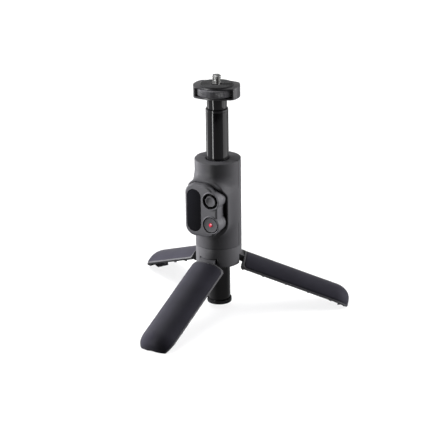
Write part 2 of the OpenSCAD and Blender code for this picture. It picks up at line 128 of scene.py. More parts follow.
def closed_tube(name, rings, angle=30):
    """A closed solid from rings of points, with one face over each end ring."""
    verts, faces = lattice(rings, close_row=True)
    count = len(rings[0])
    first = tuple(reversed(range(count)))
    last = tuple(range(len(verts) - count, len(verts)))
    return mesh_piece(name, verts, faces + [first, last], angle)


def revolve(name, profile, steps=96, angle=30, radius_at=None):
    """A closed body of revolution about Z from (radius, height) points that run once round its section."""
    rows = []
    for k in range(steps):
        a = TAU * k / steps
        rows.append([(r * math.cos(a), r * math.sin(a), z)
                     for r, z in (radius_at(profile, a) if radius_at else profile)])
    on_axis = profile[0][0] == 0 and profile[-1][0] == 0
    return mesh_piece(name, *lattice(rows, close_row=not on_axis, close_column=True), angle)


def facing(piece, at):
    """Turns a piece made about Z to face -Y, with its origin at a place given in millimetres."""
    turn = Matrix.Translation(Vector(at) * MM) @ Matrix.Rotation(math.radians(90), 4, "X")
    piece.data.transform(turn)
    return piece


def cut(piece, cutter, angle=30):
    """Takes one closed piece away from another; the cutter is used up."""
    step = piece.modifiers.new("cut", "BOOLEAN")
    step.operation = "DIFFERENCE"
    step.solver = "EXACT"
    step.object = cutter
    apply_modifiers(piece)
    bpy.data.objects.remove(cutter)
    piece.data.set_sharp_from_angle(angle=math.radians(angle))
    return piece


def apply_modifiers(piece):
    shape = bpy.data.meshes.new_from_object(piece.evaluated_get(bpy.context.evaluated_depsgraph_get()))
    piece.modifiers.clear()
    piece.data = shape


def placed(piece, node, material):
    """Puts a finished piece on the body of the CAD node that it stands for."""
    piece.data.materials.clear()
    piece.data.materials.append(material)
    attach(piece, NODE_BODY[node])
    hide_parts(node)
    return piece


def added(piece, body, material):
    """Puts a detail that no CAD node stands for on a body."""
    piece.data.materials.clear()
    piece.data.materials.append(material)
    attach(piece, body)
    return piece


def softened(node, material, width=0.25):
    """A copy of a CAD node with its sharp edges bevelled, standing for the node."""
    work = bmesh.new()
    work.from_mesh(frame["nodes"][node].data)
    bmesh.ops.remove_doubles(work, verts=work.verts, dist=2e-6)
    bmesh.ops.dissolve_limit(work, angle_limit=math.radians(0.6), verts=work.verts, edges=work.edges)
    sharp = [e for e in work.edges if len(e.link_faces) == 2
             and e.calc_face_angle(0) > math.radians(38) and e.calc_length() > width * MM]
    bmesh.ops.bevel(work, geom=sharp, offset=width * MM, segments=2, profile=0.6,
                    affect="EDGES", clamp_overlap=True)
    for face in work.faces:
        face.smooth = True
    mesh = bpy.data.meshes.new(node + "_look")
    work.to_mesh(mesh)
    work.free()
    mesh.set_sharp_from_angle(angle=math.radians(32))
    piece = bpy.data.objects.new(node + "_look", mesh)
    bpy.context.scene.collection.objects.link(piece)
    return placed(piece, node, material)


# ------------------------------------------------------------------ materials

def grey(level):
    """A grey with a slight violet cast."""
    return (level, level * 0.985, level * 1.07, 1)


class Surface:
    """A Principled material with helpers for its procedural detail."""

    def __init__(self, name, colour, roughness, metallic=0.0, coat=0.0, specular=0.5, sheen=0.0):
        self.material = bpy.data.materials.new(name)
        self.material.use_nodes = True
        self.tree = self.material.node_tree
        self.shader = self.tree.nodes["Principled BSDF"]
        self.colour = colour
        self.roughness = roughness
        self.shader.inputs["Base Color"].default_value = colour
        self.shader.inputs["Roughness"].default_value = roughness
        self.shader.inputs["Metallic"].default_value = metallic
        self.shader.inputs["Coat Weight"].default_value = coat
        self.shader.inputs["Coat Roughness"].default_value = 0.12
        self.shader.inputs["Specular IOR Level"].default_value = specular
        self.shader.inputs["Sheen Weight"].default_value = sheen
        self.height = None

    def node(self, kind, **values):
        made = self.tree.nodes.new(kind)
        for key, value in values.items():
            setattr(made, key, value)
        return made

    def link(self, start, end):
        self.tree.links.new(start, end)

    def position(self, stretch=(1, 1, 1)):
        where = self.node("ShaderNodeTexCoord").outputs["Object"]
        scaled = self.node("ShaderNodeMapping")
        scaled.inputs["Scale"].default_value = stretch
        self.link(where, scaled.inputs["Vector"])
        return scaled.outputs["Vector"]

    def noise(self, scale, detail=3.0, stretch=(1, 1, 1)):
        made = self.node("ShaderNodeTexNoise")
        made.inputs["Scale"].default_value = scale
        made.inputs["Detail"].default_value = detail
        self.link(self.position(stretch), made.inputs["Vector"])
        return made.outputs["Fac"]

    def ramp(self, value, low, high, low_at=0.35, high_at=0.65):
        made = self.node("ShaderNodeValToRGB")
        made.color_ramp.elements[0].position = low_at
        made.color_ramp.elements[1].position = high_at
        made.color_ramp.elements[0].color = low
        made.color_ramp.elements[1].color = high
        self.link(value, made.inputs["Fac"])
        return made.outputs["Color"]

    def mottled(self, scale=60.0, spread=0.08):
        """Slight change of colour from place to place, as moulded plastic has."""
        low = tuple(c * (1 - spread) for c in self.colour[:3]) + (1,)
        high = tuple(min(1, c * (1 + spread)) for c in self.colour[:3]) + (1,)
        self.link(self.ramp(self.noise(scale), low, high), self.shader.inputs["Base Color"])
        return self

    def worn(self, amount):
        """Edges that handling has made a little lighter."""
        where = self.node("ShaderNodeNewGeometry").outputs["Pointiness"]
        edge = self.ramp(where, (0, 0, 0, 1), (amount, amount, amount, 1), 0.52, 0.6)
        mix = self.node("ShaderNodeMix", data_type="RGBA", blend_type="MIX")
        self.link(edge, mix.inputs["Factor"])
        source = self.shader.inputs["Base Color"]
        if source.is_linked:
            self.link(source.links[0].from_socket, mix.inputs["A"])
        else:
            mix.inputs["A"].default_value = self.colour
        mix.inputs["B"].default_value = tuple(min(1, c * 2.2 + 0.03) for c in self.colour[:3]) + (1,)
        self.link(mix.outputs["Result"], source)
        return self

    def smudged(self, spread=0.06, scale=25.0):
        """Roughness that changes a little from place to place."""
        low, high = self.roughness - spread, self.roughness + spread
        value = self.node("ShaderNodeMapRange")
        value.inputs["To Min"].default_value = low
        value.inputs["To Max"].default_value = high
        self.link(self.noise(scale, 5), value.inputs["Value"])
        self.link(value.outputs["Result"], self.shader.inputs["Roughness"])
        return self

    def bumped(self, value, strength, distance):
        """Adds a bump over any that the material has already."""
        bump = self.node("ShaderNodeBump")
        bump.inputs["Strength"].default_value = strength
        bump.inputs["Distance"].default_value = distance
        self.link(value, bump.inputs["Height"])
        if self.height is not None:
            self.link(self.height, bump.inputs["Normal"])
        self.height = bump.outputs["Normal"]
        self.link(self.height, self.shader.inputs["Normal"])
        return self

    def grained(self, scale=1500.0, strength=0.3, distance=0.00004):
        """Fine pitted texture of moulded plastic and rubber."""
        return self.bumped(self.noise(scale, 2), strength, distance)

    def brushed(self, stretch, strength):
        """Fine parallel lines, as drawing or brushing leaves on metal."""
        return self.bumped(self.noise(900, 4, stretch), strength, 0.00003)


def plastic(name, level, roughness):
    made = Surface(name, grey(level), roughness, specular=0.24)
    return made.mottled().worn(0.12).smudged().grained().material


def rubber(name, colour, roughness):
    made = Surface(name, colour, roughness, specular=0.1, sheen=0.02)
    return made.mottled(90, 0.1).smudged(0.05).grained(2600, 0.45, 0.00005).material


def metal(name, colour, roughness, stretch=(1, 1, 1)):
    return Surface(name, colour, roughness, metallic=1.0).smudged(0.04).brushed(stretch, 0.2).material


def anodised(name, level, roughness):
    """Black finish on aluminium: a dark glossy skin with the metal's fine drawing lines under it."""
    made = Surface(name, grey(level), roughness, specular=0.4)
    return made.mottled(30, 0.12).worn(0.12).smudged(0.03, 60).brushed((1, 1, 0.05), 0.12).material


BODY = plastic("body_plastic", 0.02, 0.44)
REMOTE_CASE = plastic("remote_plastic", 0.032, 0.4)
INNER = plastic("inner_plastic", 0.004, 0.5)
LEG_FRAME = plastic("leg_frame_plastic", 0.02, 0.42)
BUTTON = plastic("button_plastic", 0.026, 0.38)
LEG_RUBBER = rubber("leg_rubber", (0.0062, 0.0059, 0.0084, 1), 0.5)
FOOT_RUBBER = rubber("foot_rubber", (0.006, 0.006, 0.007, 1), 0.7)
PAD_RUBBER = rubber("pad_rubber", (0.006, 0.006, 0.0065, 1), 0.6)
TUBE = anodised("black_tube", 0.002, 0.08)
HEAD = anodised("head_metal", 0.014, 0.26)
WHEEL = anodised("wheel_metal", 0.035, 0.33)
STEEL = metal("stainless", (0.42, 0.42, 0.415, 1), 0.27, (1, 1, 0.2))
SPRING = metal("spring_steel", (0.5, 0.5, 0.5, 1), 0.3)
MAGNET = metal("nickel", (0.62, 0.61, 0.58, 1), 0.15)
FOIL = metal("cell_foil", (0.55, 0.56, 0.58, 1), 0.38, (0.2, 1, 1))
BOARD = Surface("board", (0.02, 0.12, 0.05, 1), 0.35, coat=0.3).mottled(400, 0.25).grained(900, 0.2).material
WINDOW_GLASS = Surface("window_black", (0.003, 0.003, 0.004, 1), 0.06, specular=0.2)
WINDOW = WINDOW_GLASS.mottled(20, 0.3).smudged(0.02, 40).material
RED = Surface("red_dot", (0.24, 0.008, 0.02, 1), 0.2, coat=0.6).mottled(200, 0.1).smudged(0.03).material


# ------------------------------------------------------------------ remote control

# Outline: corner radii, and how far the centres of the right corners lie inside the right side.
LOBE_R = 6.95            # of the two lobes, one about each control
WAIST_IN = 1.95          # depth of the waist between the lobes
TOP_LEFT_R = 7
LOW_LEFT_R = 7.5
LOW_RIGHT_R = 8.5
LOW_RIGHT_IN = 10.65
TOP_RIGHT_R = 12
TOP_RIGHT_IN = 14.35
RING_H = 0.8
RING_BACK = 6.0
FILLET = 1.5
BACK_FILLET = 0.8
SPLIT_GAP = 0.06
WINDOW_GAP = 0.05
STICK_WELL_R = STICK_R + 1.95
RECORD_WELL_R = RECORD_R + 0.5
WELL_DEPTH = 6.2
CONTROLS = ((STICK, STICK_WELL_R), (RECORD, RECORD_WELL_R))
FACE = RING_FRONT + RING_H


def arc(centre, r, start, end, n):
    """Points on an arc, from one angle in degrees to another."""
    return [(centre[0] + r * math.cos(math.radians(start + (end - start) * i / n)),
             centre[1] + r * math.sin(math.radians(start + (end - start) * i / n))) for i in range(n + 1)]


def meet(c1, r1, c2, r2, side):
    """Angle on circle 1 of the point where it meets circle 2."""
    dx, dz = c2[0] - c1[0], c2[1] - c1[1]
    d = math.hypot(dx, dz)
    half_angle = math.acos((d * d + r1 * r1 - r2 * r2) / (2 * d * r1))
    return math.degrees(math.atan2(dz, dx)) + side * math.degrees(half_angle)


def outline(off, waisted=True, n=16):
    """Outline of the remote in X and Z, grown by off: round corners and two lobes on the right."""
    low, top = CASE_LOW.z, CASE_HIGH.z
    stick, record = (STICK.x, STICK.z), (RECORD.x, RECORD.z)
    tl, bl = (-HALF_W + TOP_LEFT_R, top - TOP_LEFT_R), (-HALF_W + LOW_LEFT_R, low + LOW_LEFT_R)
    br, tr = (HALF_W - LOW_RIGHT_IN, low + LOW_RIGHT_R), (HALF_W - TOP_RIGHT_IN, top - TOP_RIGHT_R)
    rl, rb, rt = LOBE_R + off, LOW_RIGHT_R + off, TOP_RIGHT_R + off
    notch = math.degrees(math.acos((HALF_W - WAIST_IN + off - stick[0]) / rl)) if waisted else 0
    return (arc(tl, TOP_LEFT_R + off, 90, 180, n) + arc(bl, LOW_LEFT_R + off, 180, 270, n)
            + arc(br, rb, -90, meet(br, rb, record, rl, -1), n)
            + arc(record, rl, meet(record, rl, br, rb, 1), notch, n)
            + arc(stick, rl, -notch, meet(stick, rl, tr, rt, -1) + 360, n)
            + arc(tr, rt, meet(tr, rt, stick, rl, 1), 90, n))


def stacked(name, loops, angle=30):
    """A closed solid from loops of points given as (outline, y)."""
    return closed_tube(name, [[(x, y, z) for x, z in loop] for loop, y in loops], angle)


def rounded_slab(name, back, front, fillet, back_fillet=0.0):
    """Solid of the remote's outline with a rounded edge at its front, and at its back if asked."""
    steps = 6
    loops = []
    if back_fillet:
        for i in range(steps):
            a = math.pi / 2 * i / steps
            inset = back_fillet * (1 - math.sin(a))
            loops.append((outline(-inset), back - back_fillet * (1 - math.cos(a))))
    loops.append((outline(0.0), back - back_fillet))
    for i in range(steps + 1):
        a = math.pi / 2 * i / steps
        inset = fillet * (1 - math.cos(a))
        loops.append((outline(-inset), front + fillet * (1 - math.sin(a))))
    return stacked(name, loops)


def capsule(width, low, high, x):
    """Upright slot outline with round ends."""
    r = width / 2
    return arc((x, high - r), r, 0, 180, 20) + arc((x, low + r), r, 180, 360, 20)


def plug(name, r, length):
    """Closed round cutter along +Z."""
    return revolve(name, [(0, 0), (r, 0), (r, length), (0, length)], 64)


def quarter(steps):
    """Angles from 0 to a right angle."""
    return [math.pi / 2 * i / steps for i in range(steps + 1)]


def boss_ring(name, at, r_in, r_out):
    """Raised round rim about a control, with soft edges inside and out."""
    outer_round, inner_round, sunk = 0.42, 0.3, 0.15
    profile = [(r_in, -RING_BACK), (r_out - 0.1, -RING_BACK), (r_out, -1.2)]
    profile += [(r_out - outer_round * (1 - math.cos(a)), -sunk + (RING_H + sunk) * math.sin(a))
                for a in quarter(8)]
    profile += [(r_in + inner_round - inner_round * math.sin(a), RING_H - inner_round * (1 - math.cos(a)))
                for a in quarter(6)]
    return facing(revolve(name, profile, 96), (at.x, FACE, at.z))


def remote_case():
    """Front shell with its window cut and wells, the rims round the controls and the joystick's liner."""
    case = rounded_slab("remote_front_case", REMOTE_SPLIT - SPLIT_GAP, FACE, FILLET)
    for at, r in CONTROLS:
        cut(case, facing(plug("well", r, 9), (at.x, FACE + WELL_DEPTH, at.z)))
    window = capsule(WINDOW_HIGH.x - WINDOW_LOW.x + 2 * WINDOW_GAP, WINDOW_LOW.z - WINDOW_GAP,
                     WINDOW_HIGH.z + WINDOW_GAP, (WINDOW_LOW.x + WINDOW_HIGH.x) / 2)
    cut(case, stacked("window_cut", [(window, FACE + 1.2), (window, FACE - 3)]))
    placed(case, "remote_front_shell", REMOTE_CASE)
    for at, r in CONTROLS:
        ring = boss_ring("control_rim_%d" % round(at.z), at, r, LOBE_R)
        added(ring, "remote", REMOTE_CASE)
    outer, wall, stem_hole = STICK_WELL_R - 0.02, STICK_WELL_R - 0.35, 2.7
    section = [(stem_hole, -0.3), (outer, -0.3), (outer, 2.6), (wall, 2.6), (wall, 0), (stem_hole, 0)]
    liner = facing(revolve("joystick_well", section, 72), (STICK.x, FACE + 3.2, STICK.z))
    added(liner, "remote", INNER)


def remote_back():
    """Back shell with a recess round the head of each screw."""
    back = rounded_slab("remote_back_case", REMOTE_BACK, REMOTE_SPLIT + SPLIT_GAP, 0.25, BACK_FILLET)
    screws_low, screws_high = box_mm("remote_screws")
    head_r = 1.5
    x = (screws_low.x + screws_high.x) / 2
    for z in (screws_low.z + head_r, screws_high.z - head_r):
        cut(back, facing(plug("recess", head_r + 0.1, 1), (x, REMOTE_BACK + 0.1, z)))
    placed(back, "remote_back_shell", REMOTE_CASE)


def remote_window():
    """Glass of the display, with a softened front edge, a little behind the case."""
    low, high = WINDOW_LOW.z + WINDOW_GAP, WINDOW_HIGH.z - WINDOW_GAP
    width, x = WINDOW_HIGH.x - WINDOW_LOW.x - 2 * WINDOW_GAP, (WINDOW_LOW.x + WINDOW_HIGH.x) / 2
    loops = [(capsule(width - 2 * inset, low + inset, high - inset, x), FACE + depth)
             for inset, depth in ((0, 1.1), (0, 0.22), (0.12, 0.1), (0.35, 0.05))]
    window = stacked("display_glass", loops, 60)
    return placed(window, "display_window", WINDOW)


def joystick_knob():
    """Dished cap on its stem, with a rounded rim."""
    top = STICK.y - box_mm("joystick_cap")[0].y
    dish, stem_r, stem_end, rim_t = 0.55, 1.7, -2.4, 1.5
    profile = [(0, stem_end), (stem_r, stem_end), (stem_r, top - rim_t), (STICK_R - 0.25, top - rim_t)]
    profile += [(STICK_R - 0.3 + 0.3 * math.cos(a), top - 0.5 + 0.5 * math.sin(a))
                for a in [math.pi / 2 * i / 6 - 0.6 for i in range(8)]]
    dish_r = STICK_R - 0.6
    radii = [(STICK_R - 0.7) * k / 8 for k in range(8, -1, -1)]
    profile += [(r, top - dish * (1 - (r / dish_r) ** 2)) for r in radii]
    knob = facing(revolve("joystick_knob", profile, 72), (STICK.x, STICK.y, STICK.z))
    placed(knob, "joystick_cap", BUTTON)


def record_key():
    """Slightly dished button with a red lamp let into its middle."""
    front = box_mm("record_button")[0].y
    lamp_r, edge, dish = 1.5, 0.35, 0.25
    profile = [(0, -3.2), (lamp_r, -3.2), (lamp_r, -2.6), (RECORD_R, -2.6)]
    profile += [(RECORD_R - edge + edge * math.cos(a), -0.1 - edge + edge * math.sin(a)) for a in quarter(6)]
    profile += [(r, -0.1 - dish * (1 - (r / RECORD_R) ** 2)) for r in (5.0, 4.2, 3.4, 2.6, 1.9, 1.62)]
    profile += [(1.55, -0.55), (0, -0.55)]
    key = facing(revolve("record_key", profile, 72), (RECORD.x, front, RECORD.z))
    placed(key, "record_button", BUTTON)
    dot = [(0, -0.9), (lamp_r, -0.9), (lamp_r, -0.36), (1.38, -0.24), (1.1, -0.14), (0.6, -0.07), (0, -0.05)]
    placed(facing(revolve("record_lamp", dot, 48), (RECORD.x, front, RECORD.z)), "record_dot", RED)


# ------------------------------------------------------------------ grip body

CRADLE_Y = -14.8
HOOD_Y = -19.5
RIM = 1.6
GRIP_WALL = 2.0
CASE_ANGLE = 34          # degrees; edges sharper than this aren't shaded smooth
BAY_GAP = 0.45           # between the remote and the sides of its bay
SCREW_IN = 1.9           # from the edge of the case screws' box to an axis
SCREW_RECESS_R = 1.95


def smooth_min(a, b, k):
    """The lesser of two values, rounded where they are closer than k."""
    h = np.clip(0.5 + 0.5 * (b - a) / k, 0, 1)
    return b * (1 - h) + a * h - k * h * (1 - h)


def smooth_max(a, b, k):
    return -smooth_min(-a, -b, k)


def cradle_distance(x, y, z):
    """Signed distance, roughly, to the solid that surrounds the remote's bay and hoods its top."""
    right, left = HALF_W + RIM, -HALF_W - RIM
    top, low = CASE_HIGH.z + RIM, CASE_LOW.z - RIM
    r = np.where(x > 0, 11.0, 8.8)    # corner radius, right and left
    dx = np.maximum(x - (right - r), (left + r) - x)
    dz = np.maximum(z - (top - r), (low + r) - z)
    side = np.hypot(np.maximum(dx, 0), np.maximum(dz, 0)) + np.minimum(np.maximum(dx, dz), 0) - r
    hood = np.clip((z - (top - 12.5)) / 8.5, 0, 1)
    front = (CRADLE_Y + (HOOD_Y - CRADLE_Y) * hood * hood * (3 - 2 * hood)) - y
    return smooth_max(side, front, 0.9)


def grip_radius(angle, z):
    """Outer radius of the front half at an angle and a height, where the cylinder and the cradle blend."""
    r = np.full(angle.shape, 26.0)
    for _ in range(60):
        x, y = r * np.cos(angle), r * np.sin(angle)
        blend = 3.2 + 3.0 * np.clip((z - CASE_HIGH.z + 3) / 5, 0, 1)
        distance = smooth_min(r - GRIP_R, cradle_distance(x, y, z), blend)
        r = r - np.clip(distance, -2, 2) * 0.8
    return np.maximum(r, GRIP_R)


def front_grip():
    """Front half of the grip: softened ends, grooved seams, the remote's bay and the screw recesses."""
    angles = np.radians(np.concatenate([[-180, -179.1, -178.3], np.linspace(-177.5, -2.5, 235),
                                        [-1.7, -0.9, 0]]))
    heights = np.concatenate([[GRIP_LOW, GRIP_LOW + 0.12, GRIP_LOW + 0.3],
                              np.arange(GRIP_LOW + 0.8, GRIP_TOP - 0.9, 0.5),
                              [GRIP_TOP - 0.6, GRIP_TOP - 0.3, GRIP_TOP - 0.1, GRIP_TOP]])
    grid_a, grid_z = np.meshgrid(angles, heights, indexing="ij")
    radius = grip_radius(grid_a, grid_z)
    edge = {0: 0.3, 1: 0.09, -1: 0.45, -2: 0.2, -3: 0.05}
    for level, depth in edge.items():
        radius[:, level] -= depth
    groove = {0: 0.4, 1: 0.3, len(angles) - 2: 0.3, len(angles) - 1: 0.4}
    for column, depth in groove.items():
        radius[column, :] -= depth
    bore = TUBE_R + 0.6
    rows = []
    for i, a in enumerate(angles):
        wall = min(GRIP_R - GRIP_WALL, (-REMOTE_BACK - 2.3) / max(1e-3, abs(math.sin(a))))
        top = GRIP_TOP - groove.get(i, 0.0)
        column = [(radius[i, j], min(z, top)) for j, z in enumerate(heights)]
        column += [(bore + 0.25, top), (bore, top - 0.25), (bore, GRIP_TOP - GRIP_WALL),
                   (wall, GRIP_TOP - GRIP_WALL), (wall, GRIP_LOW + GRIP_WALL), (bore, GRIP_LOW + GRIP_WALL),
                   (bore, GRIP_LOW)]
        rows.append([(r * math.cos(a), r * math.sin(a), z) for r, z in column])
    shell = closed_tube("grip_front_case", rows, CASE_ANGLE)
    floor = REMOTE_BACK + 0.3
    bay = outline(BAY_GAP, False, 24)
    cut(shell, stacked("bay", [(bay, floor), (bay, -40)]), CASE_ANGLE)
    low, high = box_mm("case_screws")
    for x in (low.x + SCREW_IN, high.x - SCREW_IN):
        for z in (low.z + SCREW_IN, high.z - SCREW_IN):
            recess = facing(plug("screw_recess", SCREW_RECESS_R, 3), (x, floor + 0.9, z))
            cut(shell, recess, CASE_ANGLE)
    placed(shell, "front_shell", BODY)


def rear_grip():
    softened("rear_shell", BODY, 0.22)


def guides():
    for node in ("upper_guide", "lower_guide"):
        softened(node, INNER, 0.1)


def detent():
    """Steel ball, and the coil spring behind it."""
    softened("detent_ball", STEEL, 0.05)
    low, high = box_mm("detent_spring")
    middle = (low + high) / 2
    r, wire, turns, steps = (high.z - low.z) / 2 - 0.2, 0.17, 4.5, 90
    points = []
    for k in range(steps + 1):
        t = k / steps
        points.append((low.x + wire + (high.x - low.x - 2 * wire) * t,
                       middle.y + r * math.cos(TAU * turns * t), middle.z + r * math.sin(TAU * turns * t)))
    placed(wire_mesh("detent_coil", points, wire), "detent_spring", SPRING)


def wire_mesh(name, points, r):
    """A round wire through points, as a mesh."""
    curve = bpy.data.curves.new(name, "CURVE")
    curve.dimensions = "3D"
    line = curve.splines.new("POLY")
    line.points.add(len(points) - 1)
    for spot, p in zip(line.points, points):
        spot.co = (p[0] * MM, p[1] * MM, p[2] * MM, 1)
    curve.bevel_depth = r * MM
    curve.bevel_resolution = 2
    curve.use_fill_caps = True
    holder = bpy.data.objects.new(name + "_curve", curve)
    bpy.context.scene.collection.objects.link(holder)
    bpy.context.view_layer.update()
    mesh = bpy.data.meshes.new_from_object(holder.evaluated_get(bpy.context.evaluated_depsgraph_get()))
    bpy.data.objects.remove(holder)
    piece = bpy.data.objects.new(name, mesh)
    bpy.context.scene.collection.objects.link(piece)
    return piece


# ------------------------------------------------------------------ legs

LEG_OPEN = math.radians(68)
HINGE_R = GRIP_R - 4
LEG_R = GRIP_R - 0.6
LEG_LEN = 92.5
DOME = 12.0
TIP_R = 8.6
SKIN_HALF = math.radians(54)
SKIN_ROOT = 6.9
SKIN_T = 1.0
CORNER = 2.8
SKIN_ANGLE = 50          # degrees; edges sharper than this aren't shaded smooth
SKIN_LIP = 0.45          # how far the rubber's edge drops
SKIN_LIP_W = 0.9         # and over what width
TIP_INNER_R = TIP_R - 1.5
FLOOR_GAP = 0.6          # height of the rubber cover above the floor


def leg_radius(d):
    """Outer radius of a folded leg at a distance below its pin."""
    if d <= LEG_LEN - DOME:
        return LEG_R
    return TIP_R + (LEG_R - TIP_R) * math.sqrt(max(0.0, 1 - ((d - LEG_LEN + DOME) / DOME) ** 2))


def leg_matrix(body):
    """Places a leg's own frame: origin on its pin, X outwards, -Z along the folded leg."""
    joint = next(j for j in frame["joints"] if j["child"] == body)
    pin = Vector(joint["pos_m"])
    turn = Matrix.Rotation(math.atan2(pin.y, pin.x), 4, "Z") @ Matrix.Rotation(-LEG_OPEN, 4, "Y")
    return Matrix.Translation(pin) @ turn


def on_leg(angle, r, d):
    """Point in a leg's own frame, by its angle and radius about the rod when the leg is folded."""
    return (r * math.cos(angle) - HINGE_R, r * math.sin(angle), -d)


def skin_start(angle):
    """Distance at which the rubber starts, with round corners."""
    edge = LEG_R * SKIN_HALF - abs(angle) * LEG_R
    if edge >= CORNER:
        return SKIN_ROOT
    return SKIN_ROOT + CORNER - math.sqrt(max(0.0, CORNER ** 2 - (CORNER - edge) ** 2))


def leg_skin(body):
    """Rubber cover with rounded edges that lies in the frame's recess."""
    columns, rows = 48, []
    steps = [0, 0.0025, 0.006, 0.012]
    steps += [0.02 + 0.76 * k / 24 for k in range(25)]
    steps += [0.78 + 0.22 * k / 26 for k in range(1, 27)]
    for i in range(columns + 1):
        u = -1 + 2 * i / columns
        u = math.copysign(1 - (1 - abs(u)) ** 1.25, u)
        angle = u * (SKIN_HALF - 0.006)
        start = skin_start(angle) + 0.05
        column_out, column_in = [], []
        for t in steps:
            d = start + (LEG_LEN - start) * t
            side = (SKIN_HALF - abs(angle)) * LEG_R
            rim = min(side, d - start + 0.02)
            drop = SKIN_LIP * (1 - min(1.0, rim / SKIN_LIP_W)) ** 2
            r = leg_radius(d)
            inner_r = max(r - SKIN_T + 0.02, TIP_INNER_R)
            column_out.append(on_leg(angle, r - drop, d))
            column_in.append(on_leg(angle, inner_r, min(d, LEG_LEN - SKIN_T * t ** 8)))
        end = on_leg(angle, TIP_INNER_R, LEG_LEN)
        rows.append(column_out + [end] + column_in[::-1])
    skin = closed_tube(body + "_skin_cover", rows, SKIN_ANGLE)
    skin.data.transform(leg_matrix(body))
    trim_floor(skin, FLOOR_GAP)
    placed(skin, body + "_skin", LEG_RUBBER)
    for side in (-1, 1):
        corner = leg_corner(body + "_corner_" + ("right" if side > 0 else "left"), side)
        corner.data.transform(leg_matrix(body))
        added(corner, body, LEG_FRAME)


def leg_corner(name, side):
    """Fillet of frame plastic between the rubber's round corner and its square recess."""
    rows = []
    width, steps = LEG_R * SKIN_HALF, 12
    for k in range(steps + 1):
        a = math.pi / 2 * k / steps
        inner = (width - CORNER + CORNER * math.sin(a), SKIN_ROOT + CORNER - CORNER * math.cos(a))
        outer = (min(width, width - CORNER + 2 * CORNER * k / steps),
                 SKIN_ROOT + max(0.0, CORNER * (2 * k / steps - 1)))
        points = []
        for (s, d), depth in ((outer, 0.0), (inner, 0.0), (inner, SKIN_T), (outer, SKIN_T)):
            points.append(on_leg(side * s / LEG_R, LEG_R - depth, d))
        rows.append(points)
    return closed_tube(name, rows)


def trim_floor(piece, height):
    """Cuts away what would be lower than a height above the floor, and closes the cut."""
    work = bmesh.new()
    work.from_mesh(piece.data)
    result = bmesh.ops.bisect_plane(work, geom=work.verts[:] + work.edges[:] + work.faces[:],
                                    plane_co=(0, 0, height * MM), plane_no=(0, 0, -1), clear_outer=True)
    edges = [e for e in result["geom_cut"] if isinstance(e, bmesh.types.BMEdge)]
    if edges:
        bmesh.ops.holes_fill(work, edges=edges, sides=0)
    work.to_mesh(piece.data)
    work.free()
    piece.data.set_sharp_from_angle(angle=math.radians(SKIN_ANGLE))


def leg(body):
    softened(body + "_frame", LEG_FRAME, 0.3)
    leg_skin(body)
    softened(body + "_foot", FOOT_RUBBER, 0.35)


# ------------------------------------------------------------------ rod and head

def rod():
    for node in ("tube_1", "tube_2", "tube_3", "tube_4", "collar_1"):
        softened(node, TUBE, 0.12)
    for node in ("collar_2", "collar_3", "bushing_2", "bushing_3", "bushing_4"):
        softened(node, INNER, 0.1)
    softened("rod_end_cap", TUBE, 0.3)
    softened("neck_ferrule", TUBE, 0.25)


def head():
    """Head casting, top plate and screws, and the rubber pad with its ring grooves."""
    softened("head_base", HEAD, 0.3)
    softened("top_plate", HEAD, 0.7)
    softened("head_screws", STEEL, 0.05)
    pad_low, pad_high = box_mm("rubber_pad")
    pad_r, z0, z1 = pad_high.x, pad_low.z, pad_high.z
    screw_r = camera_screw_radius()
    profile = [(screw_r + 0.35, z0), (pad_r, z0), (pad_r, z1 - 0.3), (pad_r - 0.12, z1 - 0.1),
               (pad_r - 0.35, z1)]
    for groove in (pad_r - 1.3, pad_r - 2.9, pad_r - 4.5, pad_r - 6.1):
        for away, depth in ((0.25, 0), (0.12, 0.22), (-0.12, 0.22), (-0.25, 0)):
            profile.append((groove + away, z1 - depth))
    profile += [(screw_r + 0.6, z1), (screw_r + 0.35, z1 - 0.25)]
    placed(revolve("grip_pad", profile, 96), "rubber_pad", PAD_RUBBER)


def camera_screw_radius():
    mount = next(m for m in frame["record"]["mounts"] if m["name"] == "camera_screw")
    return mount["dims"]["r_mm"]


FLANGE = 1.5             # thickness of the camera screw's flange, which sits in the wheel


def wheel():
    """Thumb wheel with a knurled edge."""
    low, high = box_mm("thumb_wheel")
    r, z0, z1 = high.x, low.z, high.z
    shank = camera_screw_radius() - 0.36
    teeth, depth = 90, 0.35

    def knurled(profile, angle):
        ridge = abs((angle * teeth / TAU) % 1 - 0.5) * 2
        return [(p - depth * ridge if p > r - 0.7 else p, z) for p, z in profile]

    recess_r = shank + 2.66
    profile = [(shank, z0 + FLANGE), (recess_r, z0 + FLANGE), (recess_r, z0), (r - 1.2, z0),
               (r - 0.5, z0 + 0.35), (r, z0 + 0.8), (r, z0 + (z1 - z0) / 2), (r, z1 - 0.8),
               (r - 0.5, z1 - 0.35), (r - 1.2, z1), (shank, z1)]
    placed(revolve("knurled_wheel", profile, teeth * 6, 50, knurled), "thumb_wheel", WHEEL)


